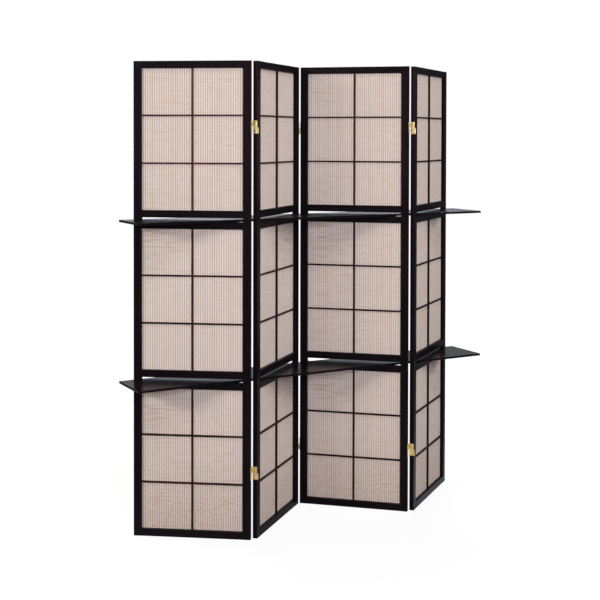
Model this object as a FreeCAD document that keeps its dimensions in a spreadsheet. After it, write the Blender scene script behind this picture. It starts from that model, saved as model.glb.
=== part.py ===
# Four-panel folding room divider: lattice frames with fabric, two-way hinges, two shelves through slots.
# Frame: +X along the shelves, -Y is the front, +Z up, origin on the floor under the middle of the whole.
import FreeCAD, Part
import Sketcher
import math
import os

doc = FreeCAD.newDocument("room_divider")

# Driving dimensions in millimetres and degrees.
# A panel's turn is positive where its right end lies further back.
sizes = {
    "panel_width": 444.5,
    "panel_height": 1784.0,
    "frame_thickness": 18.0,
    "stile_width": 30.0,
    "rail_height": 27.0,
    "arris_radius": 1.0,
    "tenon_length": 15.0,
    "tenon_thickness": 8.0,
    "tenon_height": 17.0,
    "joint_clearance": 0.1,
    "muntin_width": 6.0,
    "muntin_depth": 7.5,
    "muntin_setback": 6.5,
    "muntin_tenon": 5.0,
    "fabric_thickness": 0.6,
    "fabric_margin": 5.0,
    "bead_width": 6.0,
    "shelf_thickness": 9.0,
    "shelf_play": 6.0,
    "shelf_rest_gap": 0.3,
    "shelf_side_clearance": 3.0,
    "shelf_left_overhang": 65.0,
    "shelf_right_overhang": 16.0,
    "shelf_radius": 1.5,
    "hinge_height": 48.0,
    "hinge_inset": 246.0,
    "leaf_thickness": 1.2,
    "leaf_gap": 0.6,
    "leaf_margin": 0.5,
    "knuckle_diameter": 4.8,
    "knuckle_gap": 0.3,
    "pin_diameter": 2.6,
    "pin_clearance": 0.03,
    "screw_spacing": 25.0,
    "screw_head": 5.6,
    "screw_shank": 2.6,
    "screw_length": 12.0,
    "access_clearance": 0.7,
    "panel_1_turn": -35.2,
    "panel_2_turn": 40.9,
    "panel_3_turn": -42.9,
    "panel_4_turn": 37.6,
}
sheet = doc.addObject("Spreadsheet::Sheet", "Sizes")
for row, (alias, value) in enumerate(sizes.items(), start=1):
    sheet.set(f"A{row}", alias)
    sheet.set(f"B{row}", str(value))
    sheet.setAlias(f"B{row}", alias)
doc.recompute()

PANELS = (1, 2, 3, 4)
JOINTS = ((1, 2), (2, 3), (3, 4))
CUT_PAST = "1 mm"


def size(alias):
    """The number in a cell of the sheet."""
    return float(sheet.get(alias))


def cell(alias):
    """A cell as an expression that carries millimetres."""
    return f"Sizes.{alias} * 1 mm"


WIDTH = cell("panel_width")
HEIGHT = cell("panel_height")
THICK = cell("frame_thickness")
STILE = cell("stile_width")
RAIL = cell("rail_height")
CLEAR = cell("joint_clearance")
FRONT = f"(-{THICK} / 2)"
REAR = f"({THICK} / 2)"
OPENING = f"({WIDTH} - 2 * {STILE})"
SLOT = f"({cell('shelf_thickness')} + {cell('shelf_play')})"
TIER = f"(({HEIGHT} - 6 * {RAIL} - 2 * {SLOT}) / 3)"
TIER_STEP = f"({TIER} + 2 * {RAIL} + {SLOT})"
MUNTIN = cell("muntin_width")
LATTICE_FRONT = f"({FRONT} + {cell('muntin_setback')})"
LATTICE_REAR = f"({LATTICE_FRONT} + {cell('muntin_depth')})"
LATTICE_MIDDLE = f"(({LATTICE_FRONT} + {LATTICE_REAR}) / 2)"
FABRIC_REAR = f"({LATTICE_REAR} + {cell('fabric_thickness')})"


def bind(target, expressions):
    """Tie properties of an object to expressions."""
    for path, text in expressions.items():
        target.setExpression(path, text)


def place(target, x="0 mm", y="0 mm", z="0 mm"):
    """Tie an object's position to expressions."""
    bind(target, {"Placement.Base.x": x, "Placement.Base.y": y, "Placement.Base.z": z})
    return target


def block(name, x, y, z):
    """A box between two bounds in each direction."""
    made = doc.addObject("Part::Box", name)
    for side, (low, high) in (("Length", x), ("Width", y), ("Height", z)):
        made.setExpression(side, f"{high} - ({low})")
    return place(made, x[0], y[0], z[0])


def rod(name, diameter, length, x, y, z, along_x=False):
    """A cylinder that starts at a point and runs up, or to the right."""
    made = doc.addObject("Part::Cylinder", name)
    if along_x:
        made.Placement.Rotation = FreeCAD.Rotation(FreeCAD.Vector(0, 1, 0), 90)
    bind(made, {"Radius": f"({diameter}) / 2", "Height": length})
    return place(made, x, y, z)


def group(name, pieces):
    """Separate pieces held as one object."""
    made = doc.addObject("Part::Compound", name)
    made.Links = pieces
    return made


def fused(name, pieces):
    made = doc.addObject("Part::MultiFuse", name)
    made.Shapes = pieces
    return made


def cut(name, base, tool):
    made = doc.addObject("Part::Cut", name)
    made.Base = base
    made.Tool = tool
    return made


def around(middle, half):
    """Bounds at equal distances on both sides of a middle."""
    return (f"({middle} - ({half}))", f"({middle} + ({half}))")


def bar(name, plane, across, upright, length, radius, all_edges=False):
    """A bar with eased arrises: a rectangle centred on an origin plane, padded to both sides of it."""
    body = doc.addObject("PartDesign::Body", name)
    sketch = body.newObject("Sketcher::SketchObject", f"{name}_section")
    origin_plane = [item for item in body.Origin.OriginFeatures if item.Role == plane][0]
    sketch.AttachmentSupport = [(origin_plane, "")]
    sketch.MapMode = "FlatFace"
    corners = [FreeCAD.Vector(sx * 5, sy * 5, 0) for sx, sy in ((-1, -1), (1, -1), (1, 1), (-1, 1))]
    for index in range(4):
        sketch.addGeometry(Part.LineSegment(corners[index], corners[(index + 1) % 4]), False)
    for index in range(4):
        sketch.addConstraint(Sketcher.Constraint("Coincident", index, 2, (index + 1) % 4, 1))
    for index, direction in enumerate(("Horizontal", "Vertical", "Horizontal", "Vertical")):
        sketch.addConstraint(Sketcher.Constraint(direction, index))
    sketch.addConstraint(Sketcher.Constraint("Symmetric", 0, 1, 1, 2, -1, 1))
    width = sketch.addConstraint(Sketcher.Constraint("DistanceX", 0, 1, 0, 2, 10.0))
    depth = sketch.addConstraint(Sketcher.Constraint("DistanceY", 1, 1, 1, 2, 10.0))
    sketch.setExpression(f"Constraints[{width}]", across)
    sketch.setExpression(f"Constraints[{depth}]", upright)
    pad = body.newObject("PartDesign::Pad", f"{name}_pad")
    pad.Profile = sketch
    pad.SideType = "Symmetric"
    pad.setExpression("Length", length)
    doc.recompute()
    axis = {"XY_Plane": 2, "YZ_Plane": 0}[plane]
    edges = []
    for index, edge in enumerate(pad.Shape.Edges, start=1):
        step = edge.Vertexes[1].Point - edge.Vertexes[0].Point
        if all_edges or abs(step[axis]) > 0.9 * step.Length:
            edges.append(f"Edge{index}")
    ease = body.newObject("PartDesign::Fillet", f"{name}_arrises")
    ease.Base = (pad, edges)
    ease.setExpression("Radius", radius)
    return body


def rail_bottom(tier, side):
    """Height of the underside of the rail below or above a tier's opening."""
    opening_bottom = f"({RAIL} + {tier} * {TIER_STEP})"
    if side == "above":
        return f"({opening_bottom} + {TIER})"
    return f"({opening_bottom} - {RAIL})"


def tier_bounds(tier, grow="0 mm"):
    """Heights of a tier's opening, grown up and down by a margin."""
    low = f"({RAIL} + {tier} * {TIER_STEP})"
    return (f"({low} - ({grow}))", f"({low} + {TIER} + ({grow}))")


def opening_bounds(grow="0 mm"):
    """Left and right of a panel's opening, grown by a margin."""
    return around("0 mm", f"{OPENING} / 2 + {grow}")


def crossing_middle(tier, number):
    """Height of the middle of a cross muntin, which leaves three equal cells in its tier."""
    return f"({RAIL} + {tier} * {TIER_STEP} + {number} * ({TIER} + {MUNTIN}) / 3 - {MUNTIN} / 2)"


CROSSINGS = [(tier, number) for tier in range(3) for number in (1, 2)]
RAIL_PLACES = [(tier, side) for tier in range(3) for side in ("below", "above")]
LATTICE_DEPTH = (LATTICE_FRONT, LATTICE_REAR)
SOCKET_DEPTH = (f"({LATTICE_FRONT} - {CLEAR})", LATTICE_REAR)
REBATE_DEPTH = (LATTICE_REAR, f"({REAR} + {CUT_PAST})")
TENON_REACH = cell("tenon_length")
MUNTIN_REACH = cell("muntin_tenon")
BEAD = cell("bead_width")


def make_muntins():
    """Upright and cross bars of the three lattices, halved into each other where they cross."""
    uprights = []
    crosses = []
    for tier in range(3):
        stick = block(f"upright_{tier}", around("0 mm", f"{MUNTIN} / 2"), LATTICE_DEPTH,
                      tier_bounds(tier, MUNTIN_REACH))
        laps = [block(f"upright_{tier}_lap_{number}", around("0 mm", MUNTIN), (LATTICE_MIDDLE, REAR),
                      around(crossing_middle(tier, number), f"{MUNTIN} / 2 + {CLEAR}")) for number in (1, 2)]
        uprights.append(cut(f"upright_{tier}_halved", stick, group(f"upright_{tier}_laps", laps)))
    for tier, number in CROSSINGS:
        height = around(crossing_middle(tier, number), f"{MUNTIN} / 2")
        stick = block(f"cross_{tier}_{number}", opening_bounds(MUNTIN_REACH), LATTICE_DEPTH, height)
        lap = block(f"cross_{tier}_{number}_lap", around("0 mm", f"{MUNTIN} / 2 + {CLEAR}"),
                    (FRONT, LATTICE_MIDDLE), around(crossing_middle(tier, number), MUNTIN))
        crosses.append(cut(f"cross_{tier}_{number}_halved", stick, lap))
    return uprights, crosses


def make_rebates():
    """Room behind each opening for the fabric's edge and its beads, open to the rear."""
    return [block(f"rebate_{tier}", opening_bounds(BEAD), REBATE_DEPTH, tier_bounds(tier, BEAD))
            for tier in range(3)]


def make_stile_joinery(rebates):
    """What is cut out of a panel's two stiles: rail mortises, cross muntin sockets and rebates."""
    cutters = list(rebates)
    for tier, side in RAIL_PLACES:
        middle = f"({rail_bottom(tier, side)} + {RAIL} / 2)"
        cutters.append(block(f"mortise_{tier}_{side}", opening_bounds(f"{TENON_REACH} + {CLEAR}"),
                             around("0 mm", f"{cell('tenon_thickness')} / 2 + {CLEAR}"),
                             around(middle, f"{cell('tenon_height')} / 2 + {CLEAR}")))
    for tier, number in CROSSINGS:
        cutters.append(block(f"cross_socket_{tier}_{number}", opening_bounds(f"{MUNTIN_REACH} + {CLEAR}"),
                             SOCKET_DEPTH, around(crossing_middle(tier, number), f"{MUNTIN} / 2 + {CLEAR}")))
    return group("stile_joinery", cutters)


def make_rails(rebates):
    """Six rails of one panel, from one blank: tenons at the ends, upright sockets and rebates."""
    blank = fused("rail_blank", [
        bar("rail", "YZ_Plane", THICK, RAIL, OPENING, cell("arris_radius")),
        block("rail_tenons", opening_bounds(TENON_REACH), around("0 mm", f"{cell('tenon_thickness')} / 2"),
              around("0 mm", f"{cell('tenon_height')} / 2"))])
    sockets = [block(f"upright_socket_{tier}", around("0 mm", f"{MUNTIN} / 2 + {CLEAR}"), SOCKET_DEPTH,
                     tier_bounds(tier, f"{MUNTIN_REACH} + {CLEAR}")) for tier in range(3)]
    joinery = group("rail_joinery", sockets + rebates)
    rails = {}
    for tier, side in RAIL_PLACES:
        standing = group(f"rail_{tier}_{side}_blank", [blank])
        place(standing, z=f"{rail_bottom(tier, side)} + {RAIL} / 2")
        rails[tier, side] = cut(f"rail_{tier}_{side}", standing, joinery)
    return rails


def make_fabric():
    """One sheet of fabric to a tier, lying against the back of the lattice."""
    margin = cell("fabric_margin")
    depth = (LATTICE_REAR, FABRIC_REAR)
    return [block(f"fabric_{tier}", opening_bounds(margin), depth, tier_bounds(tier, margin))
            for tier in range(3)]


def make_beads():
    """Four strips to a tier that close the rebate behind the fabric, flush with the rear of the frame."""
    beads = []
    depth = (FABRIC_REAR, REAR)
    left, right = opening_bounds()
    for tier in range(3):
        low, high = tier_bounds(tier)
        tall = tier_bounds(tier, BEAD)
        beads.append(block(f"bead_{tier}_left", (f"({left} - {BEAD})", left), depth, tall))
        beads.append(block(f"bead_{tier}_right", (right, f"({right} + {BEAD})"), depth, tall))
        beads.append(block(f"bead_{tier}_low", (left, right), depth, (tall[0], low)))
        beads.append(block(f"bead_{tier}_high", (left, right), depth, (high, tall[1])))
    return beads


LEAF = cell("leaf_thickness")
LEAF_GAP = cell("leaf_gap")
HINGE_GAP = f"(3 * {LEAF} + 2 * {LEAF_GAP})"
HINGE_HALF = f"({cell('hinge_height')} / 2)"
HINGE_HEIGHTS = (cell("hinge_inset"), f"({HEIGHT} - {cell('hinge_inset')})")
KNUCKLE = cell("knuckle_diameter")
KNUCKLE_GAP = cell("knuckle_gap")
PIN_REACH = f"({THICK} / 2 + {KNUCKLE} / 2)"
# Across the closed hinge: left leaf, link plate, right leaf. Along each pin: three knuckles.
LEFT_PLATE = ("0 mm", LEAF)
LINK_PLATE = (f"({LEAF} + {LEAF_GAP})", f"(2 * {LEAF} + {LEAF_GAP})")
RIGHT_PLATE = (f"(2 * {LEAF} + 2 * {LEAF_GAP})", HINGE_GAP)
REAR_PIN = (f"({LEAF} + {LEAF_GAP} / 2)", PIN_REACH, 0)
FRONT_PIN = (f"(2 * {LEAF} + 1.5 * {LEAF_GAP})", f"(-{PIN_REACH})", -1)


def knuckle_bounds(pin, number):
    """Heights of one of a pin's three knuckles, about the hinge's middle."""
    third = f"({HINGE_HALF} / 3)"
    low = f"({pin[2]} * {HINGE_HALF} + {number} * {third})"
    return (f"({low} + {KNUCKLE_GAP} / 2)", f"({low} + {third} - {KNUCKLE_GAP} / 2)")


def make_plate(name, thickness, knuckles, holes):
    """A hinge plate with its rolled knuckles; each knuckle is a pin and a number from below."""
    margin = cell("leaf_margin")
    pieces = [block(f"{name}_plate", thickness, (f"({FRONT} + {margin})", f"({REAR} - {margin})"),
                    around("0 mm", HINGE_HALF))]
    bores = list(holes)
    for pin, number in knuckles:
        low, high = knuckle_bounds(pin, number)
        label = f"{name}_{'rear' if pin is REAR_PIN else 'front'}_{number}"
        reach = ("0 mm", pin[1]) if pin is REAR_PIN else (pin[1], "0 mm")
        pieces.append(block(f"{label}_neck", thickness, reach, (low, high)))
        pieces.append(rod(f"{label}_knuckle", KNUCKLE, f"{high} - {low}", pin[0], pin[1], low))
        bores.append(rod(f"{label}_bore", f"{cell('pin_diameter')} + 2 * {cell('pin_clearance')}",
                         f"{high} - {low} + 2 * {CUT_PAST}", pin[0], pin[1], f"{low} - {CUT_PAST}"))
    return cut(name, fused(f"{name}_blank", pieces), group(f"{name}_bores", bores))


def screw_heights():
    return [f"({sign} * {cell('screw_spacing')} / 2)" for sign in (-1, 1)]


def make_screw(name, leaf, inward, height, room="0 mm"):
    """A countersunk screw through a leaf, or with some room round it, its hole."""
    head = doc.addObject("Part::Cone", f"{name}_head")
    turn = 90 if inward > 0 else -90
    head.Placement.Rotation = FreeCAD.Rotation(FreeCAD.Vector(0, 1, 0), turn)
    face = leaf[0] if inward > 0 else leaf[1]
    bind(head, {"Radius1": f"{cell('screw_head')} / 2 + {room}",
                "Radius2": f"{cell('screw_shank')} / 2 + {room}",
                "Height": LEAF})
    place(head, face, "0 mm", height)
    length = f"({cell('screw_length')} + {room})"
    start = face if inward > 0 else f"({face} - {length})"
    across = f"{cell('screw_shank')} + 2 * ({room})"
    shank = rod(f"{name}_shank", across, length, start, "0 mm", height, along_x=True)
    return fused(name, [head, shank])


def make_hinge():
    """One two-way hinge lying closed and flat: x runs from the left panel's edge to the right panel's."""
    screws = {}
    holes = {}
    for side, leaf, inward in (("left", LEFT_PLATE, -1), ("right", RIGHT_PLATE, 1)):
        screws[side] = [make_screw(f"{side}_screw_{n}", leaf, inward, height)
                        for n, height in enumerate(screw_heights())]
        holes[side] = [make_screw(f"{side}_screw_{n}_hole", leaf, inward, height, CLEAR)
                       for n, height in enumerate(screw_heights())]
    access = [rod(f"access_{n}", f"{cell('screw_head')} + 2 * {cell('access_clearance')}",
                  f"{LEAF} + 2 * {CUT_PAST}", f"{LINK_PLATE[0]} - {CUT_PAST}", "0 mm", height, along_x=True)
              for n, height in enumerate(screw_heights())]
    outer = (0, 2)
    left = make_plate("left_leaf", LEFT_PLATE, [(REAR_PIN, n) for n in outer], holes["left"])
    right = make_plate("right_leaf", RIGHT_PLATE, [(FRONT_PIN, n) for n in outer], holes["right"])
    link = make_plate("link_plate", LINK_PLATE, [(REAR_PIN, 1), (FRONT_PIN, 1)], access)
    pins = []
    for label, (x, y, half) in (("rear", REAR_PIN), ("front", FRONT_PIN)):
        pins.append(rod(f"{label}_pin", cell("pin_diameter"), HINGE_HALF, x, y, f"{half} * {HINGE_HALF}"))
    return {"left": [left], "right": [right], "link": [link], "pins": pins,
            "left_screws": screws["left"], "right_screws": screws["right"],
            "left_holes": holes["left"], "right_holes": holes["right"]}


def on_edge(name, pieces, edge):
    """Both hinges' copies of some pieces, moved from the hinge's own frame to an edge of a panel."""
    start = f"{WIDTH} / 2" if edge == "right" else f"-{WIDTH} / 2 - {HINGE_GAP}"
    copies = []
    for number, height in enumerate(HINGE_HEIGHTS):
        copy = group(f"{name}_{edge}_{number}", pieces)
        copies.append(place(copy, start, "0 mm", height))
    return copies


def plan_vector(turn, along, back=0.0):
    """A step along a panel and towards its rear, in plan."""
    angle = math.radians(turn)
    return FreeCAD.Vector(along * math.cos(angle) - back * math.sin(angle),
                          along * math.sin(angle) + back * math.cos(angle), 0)


def panel_plan():
    """Places of the panels, chained from hinge pin to hinge pin, and what the shelves take from them."""
    half = size("panel_width") / 2
    thick = size("frame_thickness")
    reach = thick / 2 + size("knuckle_diameter") / 2
    near = size("leaf_thickness") + size("leaf_gap") / 2
    far = 2 * size("leaf_thickness") + 1.5 * size("leaf_gap")
    turns = {panel: size(f"panel_{panel}_turn") for panel in PANELS}
    middles = {1: FreeCAD.Vector(0, 0, 0)}
    pins = []
    for left, right in JOINTS:
        to_rear = left != 2
        back = reach if to_rear else -reach
        beyond_left, beyond_right = (near, far) if to_rear else (far, near)
        pin = middles[left] + plan_vector(turns[left], half + beyond_left, back)
        middles[right] = pin + plan_vector(turns[right], half + beyond_right, -back)
        host = right if to_rear else left
        other = -half - near if to_rear else half + near
        pins += [pin, middles[host] + plan_vector(turns[host], other, -back)]
    corners = [middles[p] + plan_vector(turns[p], sx * half, sy * thick / 2)
               for p in PANELS for sx in (-1, 1) for sy in (-1, 1)]
    radius = size("knuckle_diameter") / 2
    front = min([c.y for c in corners] + [p.y - radius for p in pins])
    rear = max([c.y for c in corners] + [p.y + radius for p in pins])
    shelf_left = min(c.x for c in corners) - size("shelf_left_overhang")
    shelf_right = max(c.x for c in corners) + size("shelf_right_overhang")
    fronts = []
    rears = []
    for panel in PANELS:
        angle = math.radians(abs(turns[panel]))
        reach_in_slot = (half - size("stile_width")) * math.sin(angle) - thick / 2 * math.cos(angle)
        fronts.append(middles[panel].y - reach_in_slot)
        rears.append(middles[panel].y + reach_in_slot)
    shelf_front = max(fronts) + size("shelf_side_clearance")
    shelf_rear = min(rears) - size("shelf_side_clearance")
    origin = FreeCAD.Vector((shelf_left + shelf_right) / 2, (front + rear) / 2, 0)
    places = {p: FreeCAD.Placement(middles[p] - origin, FreeCAD.Rotation(FreeCAD.Vector(0, 0, 1), turns[p]))
              for p in PANELS}
    shelf = {"length": shelf_right - shelf_left, "depth": shelf_rear - shelf_front,
             "middle": (shelf_front + shelf_rear) / 2 - origin.y}
    return places, shelf, [p - origin for p in pins]


places, shelf, pins = panel_plan()
nodes = []


def add_node(label, pieces, placement):
    """A named sub-part of the divider, at its place."""
    node = group(label, pieces)
    node.Label = label
    node.Placement = placement
    nodes.append(node)


uprights, crosses = make_muntins()
rebates = make_rebates()
stile_joinery = make_stile_joinery(rebates)
rails = make_rails(rebates)
fabric = make_fabric()
beads = make_beads()
hinge = make_hinge()
screws = {edge: on_edge("screws", hinge[f"{'left' if edge == 'right' else 'right'}_screws"], edge)
          for edge in ("left", "right")}
stiles = {}
for edge, sign in (("left", "-"), ("right", "")):
    stile = bar(f"{edge}_stile_blank", "XY_Plane", STILE, THICK, HEIGHT, cell("arris_radius"))
    place(stile, f"{sign}({WIDTH} - {STILE}) / 2", "0 mm", f"{HEIGHT} / 2")
    plain = cut(f"{edge}_stile_plain", stile, stile_joinery)
    facing = "left" if edge == "right" else "right"
    drill = group(f"{edge}_stile_drill", on_edge("holes", hinge[f"{facing}_holes"], edge))
    stiles[edge] = {"plain": plain, "drilled": cut(f"{edge}_stile_drilled", plain, drill)}

for panel in PANELS:
    spot = places[panel]
    drilled = {"left": panel != PANELS[0], "right": panel != PANELS[-1]}
    for edge in ("left", "right"):
        kind = "drilled" if drilled[edge] else "plain"
        add_node(f"panel{panel}_{edge}_stile", [stiles[edge][kind]], spot)
    add_node(f"panel{panel}_top_rail", [rails[2, "above"]], spot)
    add_node(f"panel{panel}_upper_slot_rails", [rails[1, "above"], rails[2, "below"]], spot)
    add_node(f"panel{panel}_lower_slot_rails", [rails[0, "above"], rails[1, "below"]], spot)
    add_node(f"panel{panel}_bottom_rail", [rails[0, "below"]], spot)
    add_node(f"panel{panel}_upright_muntins", uprights, spot)
    add_node(f"panel{panel}_cross_muntins", crosses, spot)
    add_node(f"panel{panel}_fabric", fabric, spot)
    add_node(f"panel{panel}_fabric_beads", beads, spot)
    driven = [item for edge in ("left", "right") if drilled[edge] for item in screws[edge]]
    add_node(f"panel{panel}_hinge_screws", driven, spot)

# At the outer joints the link plate rides on the right panel, at the middle one on the left panel.
for left, right in JOINTS:
    joint = f"hinge{left}{right}"
    host, edge = (left, "right") if (left, right) == (2, 3) else (right, "left")
    add_node(f"{joint}_left_leaves", on_edge(f"{joint}_left", hinge["left"], "right"), places[left])
    add_node(f"{joint}_right_leaves", on_edge(f"{joint}_right", hinge["right"], "left"), places[right])
    add_node(f"{joint}_link_plates", on_edge(f"{joint}_link", hinge["link"], edge), places[host])
    add_node(f"{joint}_pins", on_edge(f"{joint}_pins", hinge["pins"], edge), places[host])

board = bar("shelf_board", "YZ_Plane", f"{shelf['depth']} mm", cell("shelf_thickness"),
            f"{shelf['length']} mm", cell("shelf_radius"), all_edges=True)
doc.recompute()
slot_height = size("shelf_thickness") + size("shelf_play")
tier_height = (size("panel_height") - 6 * size("rail_height") - 2 * slot_height) / 3
lower_seat = 2 * size("rail_height") + tier_height
upper_seat = lower_seat + slot_height + 2 * size("rail_height") + tier_height
for label, seat in (("lower_shelf", lower_seat), ("upper_shelf", upper_seat)):
    height = seat + size("shelf_rest_gap") + size("shelf_thickness") / 2
    spot = FreeCAD.Placement(FreeCAD.Vector(0, shelf["middle"], height), FreeCAD.Rotation())
    add_node(label, [board], spot)

doc.recompute()
for item in doc.Objects:
    if "Invalid" in item.State or "Error" in item.State:
        raise RuntimeError(f"{item.Name} failed: {item.State}")
os.makedirs("parts", exist_ok=True)
for node in nodes:
    if node.Shape.isNull() or not node.Shape.isValid() or not node.Shape.Solids:
        raise RuntimeError(f"{node.Label} has no sound shape")
for node in nodes:
    node.Shape.exportStep(f"parts/{node.Label}.step")
print(len(nodes), "nodes; a shelf is", round(shelf["length"], 1), "by", round(shelf["depth"], 1), "mm")
for (left, right), pin in zip(JOINTS, pins[::2]):
    print(f"panels {left} and {right} fold about x {pin.x:.2f}, y {pin.y:.2f}")
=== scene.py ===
# A folding room divider of four lattice panels with woven cloth, brass hinges and two long shelves.
import math

import bpy
from mathutils import Matrix, Vector


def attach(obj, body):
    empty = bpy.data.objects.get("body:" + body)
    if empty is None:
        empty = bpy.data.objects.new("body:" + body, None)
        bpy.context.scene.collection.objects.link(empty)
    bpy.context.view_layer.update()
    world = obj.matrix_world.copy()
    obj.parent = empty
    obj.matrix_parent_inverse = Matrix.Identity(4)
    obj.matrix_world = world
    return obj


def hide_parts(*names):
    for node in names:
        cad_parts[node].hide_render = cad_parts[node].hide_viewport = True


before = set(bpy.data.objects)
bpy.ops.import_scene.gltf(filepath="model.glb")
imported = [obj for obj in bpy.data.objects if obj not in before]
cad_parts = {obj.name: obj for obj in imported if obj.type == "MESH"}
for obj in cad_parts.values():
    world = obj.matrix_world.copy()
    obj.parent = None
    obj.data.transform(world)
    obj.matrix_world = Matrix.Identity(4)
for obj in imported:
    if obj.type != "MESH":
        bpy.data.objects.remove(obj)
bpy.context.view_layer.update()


# The camera: it stands in front of the divider's left end, a little under eye height, and looks
# almost level. Its picture is shifted down, so that the uprights stay upright.
CAMERA_PLACE = Vector((-2.2391, -3.9746, 1.5027))
CAMERA_YAW = 0.5046
CAMERA_PITCH = -0.0196
CAMERA_ROLL = 0.0021
CAMERA_LENS = 69.27
CAMERA_SENSOR = 36.0
CAMERA_SHIFT = -0.2346

camera_data = bpy.data.cameras.new("camera")
camera_data.sensor_width = CAMERA_SENSOR
camera_data.lens = CAMERA_LENS
camera_data.shift_y = CAMERA_SHIFT
camera = bpy.data.objects.new("camera", camera_data)
bpy.context.scene.collection.objects.link(camera)
bpy.context.scene.camera = camera
camera.matrix_world = (
    Matrix.Translation(CAMERA_PLACE)
    @ Matrix.Rotation(-CAMERA_YAW, 4, "Z")
    @ Matrix.Rotation(math.pi / 2 + CAMERA_PITCH, 4, "X")
    @ Matrix.Rotation(CAMERA_ROLL, 4, "Z")
)


# The frames: stiles and rails of close-grained wood, planed square with eased arrises, joined by
# mortise and tenon, stained almost black and sprayed with a thin satin lacquer. Towards the top
# some stiles are painted redder or bluer, as a painted warm highlight and a painted cool reflection.
PANELS = (1, 2, 3, 4)
RAIL_NODES = ("top_rail", "upper_slot_rails", "lower_slot_rails", "bottom_rail")
ESPRESSO_DEEP = (0.0024, 0.0018, 0.0028, 1.0)
ESPRESSO_WARM = (0.0092, 0.0045, 0.0060, 1.0)
ESPRESSO = (ESPRESSO_DEEP, ESPRESSO_WARM)
FRAME_ROUGHNESS = 0.36
FRAME_SHINE = 0.06
TOP_LIGHT_HEIGHTS = (0.95, 1.75)
RED_TOP_HIGHLIGHT = (1.9, 0.85, 0.9, 1.0)
BLUE_TOP_REFLECTION = (1.0, 1.05, 2.2, 1.0)
# Painted light: the tops of these stiles get a red painted highlight or a blue painted reflection.
TOP_LIGHT_TINTS = {
    "panel1_left": BLUE_TOP_REFLECTION,
    "panel1_right": RED_TOP_HIGHLIGHT,
    "panel2_left": RED_TOP_HIGHLIGHT,
    "panel3_right": RED_TOP_HIGHLIGHT,
    "panel4_left": RED_TOP_HIGHLIGHT,
}
GRAIN_STRETCH = {"x": (2.0, 46.0, 46.0), "z": (46.0, 46.0, 2.0)}
GRAIN_FIGURE = {"Scale": 1.6, "Detail": 5.0, "Roughness": 0.6, "Distortion": 0.5}
GRAIN_PORES = {"Scale": 14.0, "Detail": 3.0, "Roughness": 0.7}
LACQUER_CLOUDS = {"Scale": 5.0, "Detail": 2.0}
FIGURE_EDGES = (0.32, 0.72)
PORE_AMOUNT = (0.52, 0.68, 0.0, 0.55)
PORE_STRENGTH = 0.10
PORE_DEPTH = 0.0004
CLOUD_EDGES = (0.3, 0.7)
CLOUD_SMOOTHER = 0.05
CLOUD_ROUGHER = 0.07


class Nodes:
    """A node tree, with short ways to add a node and to join its sockets."""

    def __init__(self, tree):
        self.tree = tree

    def feed(self, socket, value):
        """Join a socket to another node's, or set its value."""
        if isinstance(value, bpy.types.NodeSocket):
            self.tree.links.new(value, socket)
        else:
            socket.default_value = value

    def add(self, kind, inputs=None, **settings):
        """The outputs of a new node."""
        node = self.tree.nodes.new(kind)
        for key, value in settings.items():
            setattr(node, key, value)
        for key, value in (inputs or {}).items():
            self.feed(node.inputs[key], value)
        return node.outputs

    def math(self, operation, first, second=0.0):
        """The result of a sum on one or two values."""
        return self.add("ShaderNodeMath", {0: first, 1: second}, operation=operation)[0]

    def span(self, value, low, high, to_low, to_high):
        """A value carried over from one range to another, and held inside it."""
        return self.add("ShaderNodeMapRange", {
            "Value": value, "From Min": low, "From Max": high, "To Min": to_low, "To Max": to_high})["Result"]

    def stretch(self, place, scale):
        """A place drawn out or pressed together along each axis."""
        return self.add("ShaderNodeMapping", {"Vector": place, "Scale": scale})["Vector"]

    def noise(self, place, sizes):
        """A cloudy pattern."""
        return self.add("ShaderNodeTexNoise", {"Vector": place, **sizes})["Fac"]

    def ramp(self, factor, *stops):
        """A colour read off a row of stops, each a place and a colour."""
        node = self.tree.nodes.new("ShaderNodeValToRGB")
        self.feed(node.inputs["Fac"], factor)
        row = node.color_ramp.elements
        while len(row) < len(stops):
            row.new(0.5)
        for stop, (place, colour) in zip(row, stops):
            stop.position = place
            stop.color = colour
        return node.outputs["Color"]

    def mix(self, factor, first, second, blend="MIX"):
        """Two colours laid over each other."""
        node = self.tree.nodes.new("ShaderNodeMix")
        node.data_type = "RGBA"
        node.blend_type = blend
        given = {"Factor_Float": factor, "A_Color": first, "B_Color": second}
        for socket in node.inputs:
            if socket.identifier in given:
                self.feed(socket, given[socket.identifier])
        return next(socket for socket in node.outputs if socket.identifier == "Result_Color")


class Finish(Nodes):
    """A material and the nodes of its surface."""

    def __init__(self, name):
        self.material = bpy.data.materials.new(name)
        self.material.use_nodes = True
        super().__init__(self.material.node_tree)
        self.surface = self.tree.nodes["Principled BSDF"]

    def set(self, **values):
        """Set or join sockets of the surface."""
        for key, value in values.items():
            self.feed(self.surface.inputs[key.replace("_", " ")], value)

    def bump(self, height, strength, depth):
        """Relief that is too fine for the mesh."""
        relief = self.add("ShaderNodeBump", {"Strength": strength, "Distance": depth, "Height": height})
        self.set(Normal=relief["Normal"])


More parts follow.
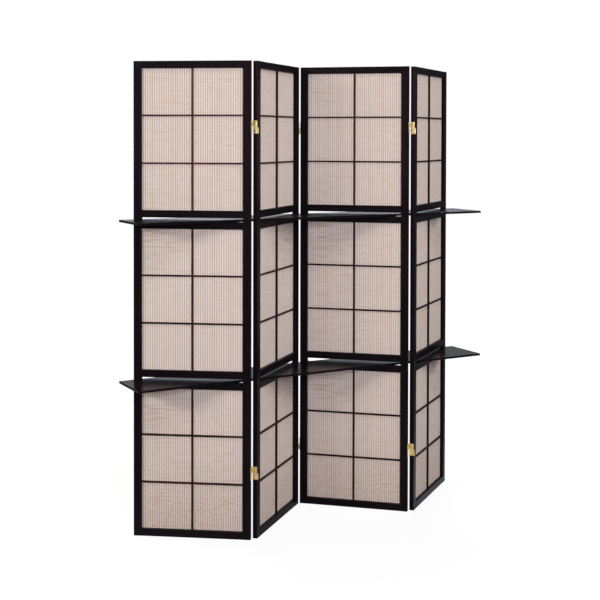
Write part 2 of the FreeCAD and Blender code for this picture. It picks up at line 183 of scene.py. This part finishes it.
def grained_wood(name, turn, grain, stain, roughness, shine, top_light_tint=None):
    """Stained wood whose grain runs along x or z of a panel that is turned in plan, with painted light
    towards the top when a tint is given.
    """
    wood = Finish(name)
    deep, warm = stain
    place = wood.add("ShaderNodeTexCoord")["Object"]
    turned = wood.add("ShaderNodeMapping", {"Vector": place, "Rotation": (0.0, 0.0, -turn)})["Vector"]
    drawn = wood.stretch(turned, GRAIN_STRETCH[grain])
    figure = wood.noise(drawn, GRAIN_FIGURE)
    pores = wood.noise(drawn, GRAIN_PORES)
    clouds = wood.noise(turned, LACQUER_CLOUDS)
    colour = wood.ramp(figure, (FIGURE_EDGES[0], deep), (FIGURE_EDGES[1], warm))
    # Painted light: the colour is multiplied by a tint that grows towards the top.
    if top_light_tint:
        height = wood.add("ShaderNodeSeparateXYZ", {"Vector": place})["Z"]
        top_light = wood.span(height, *TOP_LIGHT_HEIGHTS, 0.0, 1.0)
        colour = wood.mix(top_light, colour, top_light_tint, "MULTIPLY")
    wood.set(Base_Color=wood.mix(wood.span(pores, *PORE_AMOUNT), colour, deep))
    wood.set(Roughness=wood.span(clouds, *CLOUD_EDGES, roughness - CLOUD_SMOOTHER, roughness + CLOUD_ROUGHER))
    wood.set(Specular_IOR_Level=shine)
    wood.bump(pores, PORE_STRENGTH, PORE_DEPTH)
    return wood.material


def panel_plan(node):
    """Middle of a flat node in plan, with the turn and length of its run."""
    corners = {(round(v.co.x, 6), round(v.co.y, 6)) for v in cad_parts[node].data.vertices}
    middle = sum((Vector(c) for c in corners), Vector((0.0, 0.0))) / len(corners)
    offsets = [Vector(c) - middle for c in corners]
    spread_x = sum(o.x * o.x for o in offsets)
    spread_y = sum(o.y * o.y for o in offsets)
    shared = sum(o.x * o.y for o in offsets)
    turn = 0.5 * math.atan2(2 * shared, spread_x - spread_y)
    run = Vector((math.cos(turn), math.sin(turn)))
    return {"middle": middle, "turn": turn, "length": 2 * max(o.dot(run) for o in offsets)}


def finish_node(node, material):
    """Give a node of the model its finish."""
    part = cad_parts[node]
    part.data.materials.clear()
    part.data.materials.append(material)


plans = {panel: panel_plan(f"panel{panel}_fabric") for panel in PANELS}
for panel in PANELS:
    turn = plans[panel]["turn"]
    for edge in ("left", "right"):
        top_light_tint = TOP_LIGHT_TINTS.get(f"panel{panel}_{edge}")
        stile_wood = grained_wood(
            f"{edge}_stile_wood_{panel}", turn, "z", ESPRESSO, FRAME_ROUGHNESS, FRAME_SHINE, top_light_tint)
        finish_node(f"panel{panel}_{edge}_stile", stile_wood)
    rail_wood = grained_wood(f"rail_wood_{panel}", turn, "x", ESPRESSO, FRAME_ROUGHNESS, FRAME_SHINE)
    for rail in RAIL_NODES:
        finish_node(f"panel{panel}_{rail}", rail_wood)


# The lattices: thin sticks halved into each other where they cross and let into the frame, with
# beads of the same wood nailed behind the cloth. Their stain is thinner and redder than the frames'.
# Each panel's lattice is painted darker or lighter, and lighter towards the top, as painted light.
LATTICE_DEEP = (0.0160, 0.0050, 0.0042)
LATTICE_WARM = (0.0480, 0.0140, 0.0105)
LATTICE_TOP_LIGHT = (1.0, 1.06, 1.06)
LATTICE_PAINTED_LIGHT = {1: (0.88, 3.7), 2: (0.58, 1.35), 3: (0.62, 2.0), 4: (0.40, 2.0)}
LATTICE_ROUGHNESS = 0.48
LATTICE_SHINE = 0.08


def lit_colour(colour, strength):
    """A colour made darker or lighter, to carry painted light."""
    return tuple(strength * part for part in colour) + (1.0,)


for panel in PANELS:
    turn = plans[panel]["turn"]
    # Painted light: each panel's lattice colour is scaled to its own light level and lightened towards the
    # top.
    foot_light, top_light_strength = LATTICE_PAINTED_LIGHT[panel]
    stain = (lit_colour(LATTICE_DEEP, foot_light), lit_colour(LATTICE_WARM, foot_light))
    lattice_top_light = lit_colour(LATTICE_TOP_LIGHT, top_light_strength)
    upright_wood = grained_wood(
        f"upright_wood_{panel}", turn, "z", stain, LATTICE_ROUGHNESS, LATTICE_SHINE, lattice_top_light)
    cross_wood = grained_wood(
        f"cross_wood_{panel}", turn, "x", stain, LATTICE_ROUGHNESS, LATTICE_SHINE, lattice_top_light)
    finish_node(f"panel{panel}_upright_muntins", upright_wood)
    finish_node(f"panel{panel}_cross_muntins", cross_wood)
    finish_node(f"panel{panel}_fabric_beads", upright_wood)


# The cloth: one sheet to a tier, a natural-coloured weave with thick upright cords and thin slack
# weft between them, stretched over the back of the lattice and held at its edges by the beads. It has
# painted shade in the furrows between cords, in streaks under the shelves at the rear, and towards the floor.
TIERS = 3
CORD_PITCH = 0.0088
CORD_COLUMNS = 6
CORD_RELIEF = 0.00034
CORD_ROUNDNESS = 0.6
CLOTH_ROWS = 60
CLOTH_SET_BACK = 0.0001
CLOTH_LIGHT = (0.811, 0.717, 0.667, 1.0)
CLOTH_TAN = (0.806, 0.698, 0.611, 1.0)
CLOTH_GREY = (0.757, 0.658, 0.606, 1.0)
CLOTH_SLUB = (0.745, 0.600, 0.400, 1.0)
CLOTH_WEFT_AND_SHADE = (0.434, 0.291, 0.225, 1.0)
CLOTH_SPECK = (0.330, 0.200, 0.120, 1.0)
CLOTH_ROUGHNESS = 0.88
CLOTH_SHINE = 0.15
CLOTH_SHEEN = 0.12
CORD_TINTS = ((0.0, CLOTH_GREY), (0.4, CLOTH_LIGHT), (0.8, CLOTH_LIGHT), (1.0, CLOTH_TAN))
CORDS_APART = 57.0
SHEETS_APART = 9.0
SHEET_UNEVENNESS = (0.0, 1.0, 0.35, 1.0)

# Threads: turns of their pattern to a cord and to a metre, and its detail. Amounts: where on the
# pattern a mark begins and is full, and how strong it is at each.
FIBRE_THREADS = (8.0, 60.0, 3.0)
FIBRE_AMOUNT = (0.3, 0.7, 0.0, 0.3)
PATCH_THREADS = (0.22, 34.0, 2.0)
PATCH_AMOUNT = (0.50, 0.75, 0.0, 0.50)
KNOT_THREADS = (1.2, 115.0, 2.0)
KNOT_AMOUNT = (0.50, 0.75, 0.0, 0.40)
SLUB_THREADS = (0.10, 190.0, 2.0)
SLUB_AMOUNT = (0.54, 0.70, 0.0, 0.64)
STREAK_THREADS = (0.07, 190.0, 2.0)
STREAK_AMOUNT = (0.56, 0.70, 0.0, 0.38)
UNDER_SHELF_SHADE_THREADS = (0.10, 95.0, 1.0)
UNDER_SHELF_SHADE_AMOUNT = (0.50, 0.62, 0.0, 0.48)
SPECK_THREADS = (1.1, 260.0, 1.0)
SPECK_AMOUNT = (0.74, 0.80, 0.0, 0.6)
WANDER_THREADS = (0.25, 9.0, 1.0)
PICK_WANDER = 1.6
PICKS_PER_METRE = 720.0
PICK_AMOUNT = (0.0, 0.6, 0.22, 0.0)
FURROW_FLOOR = 0.12
FURROW_EDGE = (0.74, 0.88)
FURROW_DARKNESS = 0.98
UNDER_SHELF_SHADE_HEIGHT = (0.06, 0.20)
UNDER_SHELF_SHADE_DEPTH = (-0.02, 0.08)
NEAR_FLOOR_HEIGHT = (0.05, 0.30)
NEAR_FLOOR_KNOTS = 1.7
LOW_CLOTH_SHADE = 0.10
FIBRE_LUMPS = 0.5
WEFT_LUMPS = 0.25
LUMP_STRENGTH = 0.35
LUMP_DEPTH = 0.0006


def make_cloth_finish():
    """Cords that each take the dye a little differently, with slubs and dark weft, and painted shade in the
    furrows, under the shelves and towards the floor.
    """
    cloth = Finish("ribbed_cloth")
    place = cloth.add("ShaderNodeTexCoord")["Object"]
    spot = cloth.add("ShaderNodeSeparateXYZ", {"Vector": place})
    weave = cloth.add("ShaderNodeAttribute", attribute_name="weave")["Vector"]
    axes = cloth.add("ShaderNodeSeparateXYZ", {"Vector": weave})

    def threads(per_cord, per_metre, detail):
        """Noise drawn out by its number of turns for each cord across and each metre upward."""
        drawn = cloth.stretch(weave, (per_cord, per_metre, SHEETS_APART))
        return cloth.noise(drawn, {"Scale": 1.0, "Detail": detail})

    def chance(number):
        """A value of its own for each whole number."""
        return cloth.add("ShaderNodeTexWhiteNoise", {"W": number}, noise_dimensions="1D")["Value"]

    # Painted shade deepens towards the floor, where the weave also shows more knots and wider furrows.
    near_floor = cloth.span(spot["Z"], *NEAR_FLOOR_HEIGHT, 1.0, 0.0)
    uneven = cloth.span(chance(axes["Z"]), *SHEET_UNEVENNESS)
    sheet_start = cloth.math("MULTIPLY", axes["Z"], CORDS_APART)
    cord = cloth.math("ADD", cloth.math("FLOOR", axes["X"]), sheet_start)
    colour = cloth.ramp(chance(cord), *CORD_TINTS)

    colour = cloth.mix(cloth.span(threads(*PATCH_THREADS), *PATCH_AMOUNT), colour, CLOTH_SLUB)
    knotty = cloth.math("ADD", uneven, cloth.math("MULTIPLY", near_floor, NEAR_FLOOR_KNOTS))
    knots = cloth.span(threads(*KNOT_THREADS), *KNOT_AMOUNT)
    colour = cloth.mix(cloth.math("MULTIPLY", knots, knotty), colour, CLOTH_WEFT_AND_SHADE)
    fibre = threads(*FIBRE_THREADS)
    colour = cloth.mix(cloth.span(fibre, *FIBRE_AMOUNT), colour, CLOTH_TAN)
    slub = threads(*SLUB_THREADS)
    slubs = cloth.math("MULTIPLY", cloth.span(slub, *SLUB_AMOUNT), uneven)
    colour = cloth.mix(slubs, colour, CLOTH_SLUB)

    # Painted shade, partly the weft's own colour: the furrows between the cords are darkened.
    crown = cloth.math("SINE", cloth.math("MULTIPLY", cloth.math("FRACT", axes["X"]), math.pi))
    furrow_edge = cloth.span(near_floor, 0.0, 1.0, *FURROW_EDGE)
    furrow_shade = cloth.span(crown, FURROW_FLOOR, furrow_edge, FURROW_DARKNESS, 0.0)
    colour = cloth.mix(furrow_shade, colour, CLOTH_WEFT_AND_SHADE)
    wander = cloth.math("MULTIPLY", threads(*WANDER_THREADS), PICK_WANDER)
    pick = cloth.math("ADD", cloth.math("MULTIPLY", axes["Y"], PICKS_PER_METRE), wander)
    weft = cloth.math("ABSOLUTE", cloth.math("SINE", cloth.math("MULTIPLY", pick, math.pi)))
    colour = cloth.mix(cloth.span(weft, *PICK_AMOUNT), colour, CLOTH_WEFT_AND_SHADE)
    streaks = cloth.span(threads(*STREAK_THREADS), *STREAK_AMOUNT)
    colour = cloth.mix(cloth.math("MULTIPLY", streaks, uneven), colour, CLOTH_WEFT_AND_SHADE)

    # Painted shade: dark streaks at the top of the lower sheets and at the rear, where the shelves shade the
    # cloth.
    under_slot = cloth.span(axes["Y"], *UNDER_SHELF_SHADE_HEIGHT, 0.0, 1.0)
    at_rear = cloth.span(spot["Y"], *UNDER_SHELF_SHADE_DEPTH, 0.0, 1.0)
    tier = cloth.math("MODULO", axes["Z"], float(TIERS))
    below_top_tier = cloth.span(tier, TIERS - 2.0, TIERS - 1.0, 1.0, 0.0)
    under_shelf_shade = cloth.math("MULTIPLY", cloth.math("MULTIPLY", under_slot, at_rear), below_top_tier)
    shade_streaks = cloth.span(threads(*UNDER_SHELF_SHADE_THREADS), *UNDER_SHELF_SHADE_AMOUNT)
    colour = cloth.mix(cloth.math("MULTIPLY", shade_streaks, under_shelf_shade), colour, CLOTH_WEFT_AND_SHADE)
    # Painted shade: the cloth is darkened towards the floor.
    colour = cloth.mix(cloth.math("MULTIPLY", near_floor, LOW_CLOTH_SHADE), colour, CLOTH_SPECK)
    colour = cloth.mix(cloth.span(threads(*SPECK_THREADS), *SPECK_AMOUNT), colour, CLOTH_SPECK)

    cloth.set(Base_Color=colour, Roughness=CLOTH_ROUGHNESS)
    cloth.set(Specular_IOR_Level=CLOTH_SHINE, Sheen_Weight=CLOTH_SHEEN)
    lumps = cloth.math("ADD", cloth.math("MULTIPLY", fibre, FIBRE_LUMPS), slub)
    lumps = cloth.math("ADD", lumps, cloth.math("MULTIPLY", weft, WEFT_LUMPS))
    cloth.bump(lumps, LUMP_STRENGTH, LUMP_DEPTH)
    return cloth.material


def new_growth(name, sizes):
    """A tree of geometry nodes, with named inputs for its sizes and a place for what it makes."""
    tree = bpy.data.node_groups.new(name, "GeometryNodeTree")
    inputs = {}
    for size, kind in sizes.items():
        inputs[size] = tree.interface.new_socket(size, in_out="INPUT", socket_type=kind)
    tree.interface.new_socket("Geometry", in_out="OUTPUT", socket_type="NodeSocketGeometry")
    given = tree.nodes.new("NodeGroupInput").outputs
    result = tree.nodes.new("NodeGroupOutput").inputs["Geometry"]
    return Nodes(tree), inputs, given, result


def make_cloth_tree(finish):
    """A flat sheet in its own frame, with cords across x and its weave stored for the finish."""
    nodes, inputs, given, result = new_growth("ribbed_sheet", {
        "Width": "NodeSocketFloat",
        "Length": "NodeSocketFloat",
        "Columns": "NodeSocketInt",
        "Rows": "NodeSocketInt",
        "Pitch": "NodeSocketFloat",
        "Relief": "NodeSocketFloat",
        "Sheet": "NodeSocketFloat",
    })
    flat = nodes.add("GeometryNodeMeshGrid", {
        "Size X": given["Width"], "Size Y": given["Length"],
        "Vertices X": given["Columns"], "Vertices Y": given["Rows"]})["Mesh"]
    position = nodes.add("GeometryNodeInputPosition")["Position"]
    spot = nodes.add("ShaderNodeSeparateXYZ", {"Vector": position})
    from_edge = nodes.math("ADD", spot["X"], nodes.math("MULTIPLY", given["Width"], 0.5))
    cord = nodes.math("DIVIDE", from_edge, given["Pitch"])
    arch = nodes.math("ABSOLUTE", nodes.math("SINE", nodes.math("MULTIPLY", cord, math.pi)))
    crown = nodes.math("POWER", arch, CORD_ROUNDNESS)
    weave = nodes.add("ShaderNodeCombineXYZ", {"X": cord, "Y": spot["Y"], "Z": given["Sheet"]})["Vector"]
    woven = nodes.add("GeometryNodeStoreNamedAttribute", {
        "Geometry": flat, "Name": "weave", "Value": weave}, data_type="FLOAT_VECTOR")["Geometry"]
    height = nodes.math("MULTIPLY", crown, given["Relief"])
    offset = nodes.add("ShaderNodeCombineXYZ", {"Z": height})["Vector"]
    raised = nodes.add("GeometryNodeSetPosition", {"Geometry": woven, "Offset": offset})["Geometry"]
    whole = nodes.add("GeometryNodeRealizeInstances", {"Geometry": raised})["Geometry"]
    dressed = nodes.add("GeometryNodeSetMaterial", {"Geometry": whole, "Material": finish})["Geometry"]
    nodes.feed(result, dressed)
    return nodes.tree, inputs


def grow(name, tree, inputs, values, points=None):
    """A plain mesh object made by a tree of geometry nodes, on its own or on a mesh of points."""
    seed = bpy.data.objects.new(f"{name}_seed", points or bpy.data.meshes.new(f"{name}_seed"))
    bpy.context.scene.collection.objects.link(seed)
    modifier = seed.modifiers.new("grow", "NODES")
    modifier.node_group = tree
    for key, value in values.items():
        modifier[inputs[key].identifier] = value
    graph = bpy.context.evaluated_depsgraph_get()
    mesh = bpy.data.meshes.new_from_object(seed.evaluated_get(graph))
    bpy.data.objects.remove(seed)
    made = bpy.data.objects.new(name, mesh)
    mesh.name = name
    bpy.context.scene.collection.objects.link(made)
    return made


def tier_heights(node):
    """Lower and upper edge of each sheet of a cloth node."""
    levels = sorted({round(v.co.z, 5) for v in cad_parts[node].data.vertices})
    return list(zip(levels[::2], levels[1::2]))


cloth_tree, cloth_inputs = make_cloth_tree(make_cloth_finish())
for panel in PANELS:
    plan = plans[panel]
    node = f"panel{panel}_fabric"
    cords = round(plan["length"] / CORD_PITCH)
    for tier, (low, high) in enumerate(tier_heights(node)):
        sheet = grow(f"panel{panel}_cloth_{tier + 1}", cloth_tree, cloth_inputs, {
            "Width": plan["length"],
            "Length": high - low,
            "Columns": cords * CORD_COLUMNS + 1,
            "Rows": CLOTH_ROWS,
            "Pitch": plan["length"] / cords,
            "Relief": CORD_RELIEF,
            "Sheet": float(TIERS * panel + tier),
        })
        upright = Matrix.Rotation(math.pi / 2, 4, "X")
        turn = Matrix.Rotation(plan["turn"], 4, "Z")
        middle = Vector((plan["middle"].x, plan["middle"].y, (low + high) / 2))
        set_back = Matrix.Translation((0.0, CLOTH_SET_BACK, 0.0))
        sheet.data.transform(Matrix.Translation(middle) @ turn @ set_back @ upright)
        sheet.data.polygons.foreach_set("use_smooth", [True] * len(sheet.data.polygons))
        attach(sheet, f"panel_{panel}")
        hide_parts(node)


# The hinges: two to a joint, each of two leaves and a link plate of polished brass with rolled
# knuckles, so that the panels fold both ways. Flush screws hold the leaves to the stiles' edges. The
# upper ones are painted darker and the lower ones lighter, as painted shade and painted reflection.
BRASS_LIGHT = (0.76, 0.64, 0.37, 1.0)
BRASS_DULL = (0.56, 0.43, 0.17, 1.0)
HINGE_LIGHT_HEIGHTS = (0.5, 1.3)
LOW_HINGE_LIGHT = (1.22, 1.10, 0.92, 1.0)
HIGH_HINGE_SHADE = (0.68, 0.66, 0.68, 1.0)
THUMBED_PATCHES = {"Scale": 90.0, "Detail": 3.0}
BUFFED_EDGES = (0.35, 0.6)
PATCH_EDGES = (0.3, 0.7)
PATCH_ROUGHER = 0.1
SCRATCH_STRETCH = (2600.0, 2600.0, 90.0)
SCRATCH_STRENGTH = 0.08
SCRATCH_DEPTH = 0.0001
PLATE_ROUGHNESS = 0.32


def make_brass(name, roughness):
    """Polished brass with thumbed patches and fine scratches, painted darker high up and lighter low down."""
    brass = Finish(name)
    place = brass.add("ShaderNodeTexCoord")["Object"]
    height = brass.add("ShaderNodeSeparateXYZ", {"Vector": place})["Z"]
    # Painted shade and painted reflection: the brass is darker high up and lighter low down.
    high_up = brass.span(height, *HINGE_LIGHT_HEIGHTS, 0.0, 1.0)
    tint = brass.mix(high_up, LOW_HINGE_LIGHT, HIGH_HINGE_SHADE)
    patch = brass.noise(place, THUMBED_PATCHES)
    buffed = brass.ramp(patch, (BUFFED_EDGES[0], BRASS_DULL), (BUFFED_EDGES[1], BRASS_LIGHT))
    brass.set(Base_Color=brass.mix(1.0, buffed, tint, "MULTIPLY"), Metallic=1.0)
    brass.set(Roughness=brass.span(patch, *PATCH_EDGES, roughness + PATCH_ROUGHER, roughness))
    scratch = brass.noise(brass.stretch(place, SCRATCH_STRETCH), {"Scale": 1.0})
    brass.bump(scratch, SCRATCH_STRENGTH, SCRATCH_DEPTH)
    return brass.material


plate_brass = make_brass("plate_brass", PLATE_ROUGHNESS)
for left, right in ((1, 2), (2, 3), (3, 4)):
    for plate in ("left_leaves", "right_leaves", "link_plates", "pins"):
        finish_node(f"hinge{left}{right}_{plate}", plate_brass)


# The hinge screws: small countersunk brass screws with cross recesses, two to a leaf, driven through
# the leaves into the stiles' edges until their heads are flush.
RECESS_WIDTH = 0.0008
RECESS_REACH = 0.0036
RECESS_DEPTH = 0.0010
HEAD_SIDES = 20
SHANK_SIDES = 10
SHANK_TIP = 0.0002
SCREW_SEED = 4
SCREW_ROUGHNESS = 0.30


def find_screws(node, run):
    """Each screw's head middle and inward direction, with the head's and shank's radius and the length."""
    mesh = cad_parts[node].data
    corner = [tuple(round(c, 6) for c in vertex.co) for vertex in mesh.vertices]
    leader = {place: place for place in corner}

    def root(place):
        """The corner that stands for all corners of one screw."""
        while leader[place] != place:
            place = leader[place]
        return place

    for edge in mesh.edges:
        first, second = (root(corner[index]) for index in edge.vertices)
        leader[first] = second
    solids = {}
    for place in leader:
        solids.setdefault(root(place), []).append(Vector(place))
    aside = run.cross(Vector((0.0, 0.0, 1.0)))
    found = []
    for points in solids.values():
        middle_height = (min(p.z for p in points) + max(p.z for p in points)) / 2
        along = [p.dot(run) for p in points]
        off = [p.dot(aside) for p in points]
        middle_off = (min(off) + max(off)) / 2
        radii = [math.hypot(o - middle_off, p.z - middle_height) for o, p in zip(off, points)]
        head_end = along[radii.index(max(radii))]
        inward = 1.0 if head_end < (min(along) + max(along)) / 2 else -1.0
        found.append({
            "head": run * head_end + aside * middle_off + Vector((0.0, 0.0, middle_height)),
            "inward": run * inward,
            "head_radius": max(radii),
            "shank_radius": max(r for r, a in zip(radii, along) if abs(a - head_end) > max(radii)),
            "length": max(along) - min(along),
        })
    return found


def make_screw_tree(finish):
    """A countersunk screw with a cross recess, set on every point and turned along its drive."""
    nodes, inputs, given, result = new_growth("recessed_screws", {
        "Points": "NodeSocketGeometry",
        "Head": "NodeSocketFloat",
        "Shank": "NodeSocketFloat",
        "Length": "NodeSocketFloat",
        "Seed": "NodeSocketInt",
    })
    sink = nodes.math("SUBTRACT", given["Head"], given["Shank"])
    cone = nodes.add("GeometryNodeMeshCone", {
        "Vertices": HEAD_SIDES, "Radius Top": given["Shank"], "Radius Bottom": given["Head"],
        "Depth": sink})["Mesh"]
    slot = nodes.add("GeometryNodeMeshCube", {"Size": (RECESS_WIDTH, RECESS_REACH, 2 * RECESS_DEPTH)})["Mesh"]
    across = nodes.add("GeometryNodeTransform", {
        "Geometry": slot, "Rotation": (0.0, 0.0, math.pi / 2)})["Geometry"]
    cut = nodes.add("GeometryNodeMeshBoolean", {
        "Mesh 1": cone, "Mesh 2": slot}, operation="DIFFERENCE")["Mesh"]
    cross = nodes.add("GeometryNodeMeshBoolean", {
        "Mesh 1": cut, "Mesh 2": across}, operation="DIFFERENCE")["Mesh"]
    stem = nodes.math("SUBTRACT", given["Length"], sink)
    point = nodes.add("GeometryNodeMeshCone", {
        "Vertices": SHANK_SIDES, "Radius Top": SHANK_TIP, "Radius Bottom": given["Shank"],
        "Depth": stem})["Mesh"]
    lift = nodes.add("ShaderNodeCombineXYZ", {"Z": sink})["Vector"]
    shank = nodes.add("GeometryNodeTransform", {"Geometry": point, "Translation": lift})["Geometry"]
    joined = nodes.tree.nodes.new("GeometryNodeJoinGeometry")
    for half in (cross, shank):
        nodes.feed(joined.inputs["Geometry"], half)
    drive = nodes.add("GeometryNodeInputNamedAttribute", {
        "Name": "inward"}, data_type="FLOAT_VECTOR")["Attribute"]
    aim = nodes.add("FunctionNodeAlignRotationToVector", {"Vector": drive}, axis="Z")["Rotation"]
    spin = nodes.add("FunctionNodeRandomValue", {"Seed": given["Seed"]}, data_type="FLOAT")["Value"]
    roll = nodes.add("ShaderNodeCombineXYZ", {"Z": spin})["Vector"]
    turned = nodes.add("FunctionNodeRotateRotation", {
        "Rotation": aim, "Rotate By": roll}, rotation_space="LOCAL")["Rotation"]
    placed = nodes.add("GeometryNodeInstanceOnPoints", {
        "Points": given["Points"], "Instance": joined.outputs["Geometry"], "Rotation": turned})["Instances"]
    whole = nodes.add("GeometryNodeRealizeInstances", {"Geometry": placed})["Geometry"]
    dressed = nodes.add("GeometryNodeSetMaterial", {"Geometry": whole, "Material": finish})["Geometry"]
    nodes.feed(result, dressed)
    return nodes.tree, inputs


screw_tree, screw_inputs = make_screw_tree(make_brass("screw_brass", SCREW_ROUGHNESS))
for panel in PANELS:
    node = f"panel{panel}_hinge_screws"
    turn = plans[panel]["turn"]
    driven = find_screws(node, Vector((math.cos(turn), math.sin(turn), 0.0)))
    points = bpy.data.meshes.new(f"{node}_points")
    points.from_pydata([tuple(screw["head"]) for screw in driven], [], [])
    inward = points.attributes.new("inward", "FLOAT_VECTOR", "POINT")
    for index, screw in enumerate(driven):
        inward.data[index].vector = screw["inward"]
    screws = grow(f"panel{panel}_recessed_screws", screw_tree, screw_inputs, {
        "Head": driven[0]["head_radius"],
        "Shank": driven[0]["shank_radius"],
        "Length": driven[0]["length"],
        "Seed": SCREW_SEED + panel,
    }, points)
    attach(screws, f"panel_{panel}")
    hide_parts(node)


# The shelves: two long boards that pass through the slots of all four panels and rest on the rails.
# They are stained like the frames, with a smoother and shinier coat on their faces.
SHELF_ROUGHNESS = 0.22
SHELF_SHINE = 0.10

shelf_wood = grained_wood("shelf_wood", 0.0, "x", ESPRESSO, SHELF_ROUGHNESS, SHELF_SHINE)
for shelf in ("lower_shelf", "upper_shelf"):
    finish_node(shelf, shelf_wood)


# The studio: a pale floor that keeps the divider's shadow, a white backdrop that wraps round behind
# it, and six soft lamps: one at the far left, one by the camera, one at the right, one overhead and
# two behind. The floor also glows in reflections, and in the lacquer that glow has painted shade between the
# panels, darker than in front of them.
WHITE = (1.0, 1.0, 1.0, 1.0)
FLOOR_SIDE = 30.0
FLOOR_COLOUR = (0.12, 0.12, 0.12, 1.0)
FLOOR_ROUGHNESS = 0.9
FLOOR_NEAR = 0.90
FLOOR_FADE = (1.0, 3.0)
FLOOR_GLOW = (0.8, 1.7)
FLOOR_SHADE = (0.25, 0.6)
SHADE_LEVEL = 0.36
COOL_FLOOR = (0.88, 0.94, 1.10, 1.0)
AMBIENT = (0.098, 0.044, 0.020, 1.0)
ROOM_LEVEL = 0.13
COOL_ROOM = (0.90, 0.97, 1.10)
BACKDROP_HEADING = math.radians(20.0)
BACKDROP_EDGE = 0.925
LAMP_AIM = Vector((0.0, 0.0, 0.9))

half = FLOOR_SIDE / 2
floor_corners = [(-half, -half, 0), (half, -half, 0), (half, half, 0), (-half, half, 0)]
floor_mesh = bpy.data.meshes.new("floor")
floor_mesh.from_pydata(floor_corners, [], [(0, 1, 2, 3)])
floor = bpy.data.objects.new("floor", floor_mesh)
bpy.context.scene.collection.objects.link(floor)
floor_paint = Finish("floor_paint")
floor_paint.set(Base_Color=FLOOR_COLOUR, Roughness=FLOOR_ROUGHNESS, Specular_IOR_Level=0.0)
seen = floor_paint.add("ShaderNodeLightPath")
floor_paint.set(Emission_Color=floor_paint.mix(seen["Is Glossy Ray"], WHITE, COOL_FLOOR))
spread = floor_paint.add("ShaderNodeTexCoord")["Object"]
reach = floor_paint.add("ShaderNodeVectorMath", {0: spread}, operation="LENGTH")["Value"]
lift = floor_paint.span(reach, *FLOOR_FADE, FLOOR_NEAR, 1.0)
open_floor = floor_paint.span(reach, *FLOOR_GLOW, FLOOR_NEAR, ROOM_LEVEL)
# Painted shade: the floor's glow in reflections is lowered between the panels.
shaded_floor = floor_paint.span(reach, *FLOOR_SHADE, SHADE_LEVEL, FLOOR_NEAR)
glow = floor_paint.math("MINIMUM", open_floor, shaded_floor)
direct = floor_paint.math("MULTIPLY", seen["Is Camera Ray"], lift)
mirrored = floor_paint.math("MULTIPLY", seen["Is Glossy Ray"], glow)
floor_paint.set(Emission_Strength=floor_paint.math("ADD", direct, mirrored))
floor_mesh.materials.append(floor_paint.material)

world = bpy.data.worlds.new("studio")
bpy.context.scene.world = world
world.use_nodes = True
surround = Nodes(world.node_tree)
rays = surround.add("ShaderNodeLightPath")
heading = surround.add("ShaderNodeTexCoord")["Generated"]
backdrop_middle = (math.sin(BACKDROP_HEADING), math.cos(BACKDROP_HEADING), 0.0)
ahead = surround.add("ShaderNodeVectorMath", {
    0: heading, 1: backdrop_middle}, operation="DOT_PRODUCT")["Value"]
wrap = surround.span(ahead, BACKDROP_EDGE, 1.0, ROOM_LEVEL, 1.0)
room = surround.add("ShaderNodeVectorMath", {0: COOL_ROOM, "Scale": wrap}, operation="SCALE")["Vector"]
reflected = surround.math("MAXIMUM", rays["Is Glossy Ray"], rays["Is Transmission Ray"])
around = surround.mix(reflected, AMBIENT, room)
seen_white = surround.mix(rays["Is Camera Ray"], around, WHITE)
surround.feed(world.node_tree.nodes["Background"].inputs["Color"], seen_white)


def soft_lamp(name, place, width, height, power, tint=(1.0, 1.0, 1.0)):
    """A flat lamp that faces the middle of the divider."""
    data = bpy.data.lights.new(name, "AREA")
    data.shape = "RECTANGLE"
    data.size = width
    data.size_y = height
    data.energy = power
    data.color = tint
    lamp = bpy.data.objects.new(name, data)
    bpy.context.scene.collection.objects.link(lamp)
    aim = (LAMP_AIM - Vector(place)).to_track_quat("-Z", "Y")
    lamp.matrix_world = Matrix.Translation(Vector(place)) @ aim.to_matrix().to_4x4()


soft_lamp("far_left", (-4.78, -1.57, 2.48), 1.8, 0.5, 70.0, (1.05, 1.0, 0.90))
soft_lamp("by_camera", (-1.8, -4.5, 1.8), 1.2, 1.2, 137.2, (0.943, 0.993, 1.117))
soft_lamp("right", (3.5, -3.0, 2.4), 1.0, 1.0, 73.6, (0.973, 1.0, 1.014))
soft_lamp("overhead", (0.0, -3.0, 4.0), 1.0, 1.0, 31.3, (0.93, 1.03, 1.01))
soft_lamp("behind_left", (-3.2, 3.6, 4.4), 1.2, 1.2, 150.0)
soft_lamp("behind_right", (3.2, 3.6, 4.4), 1.2, 1.2, 150.0)
bpy.context.scene.view_settings.view_transform = "Standard"
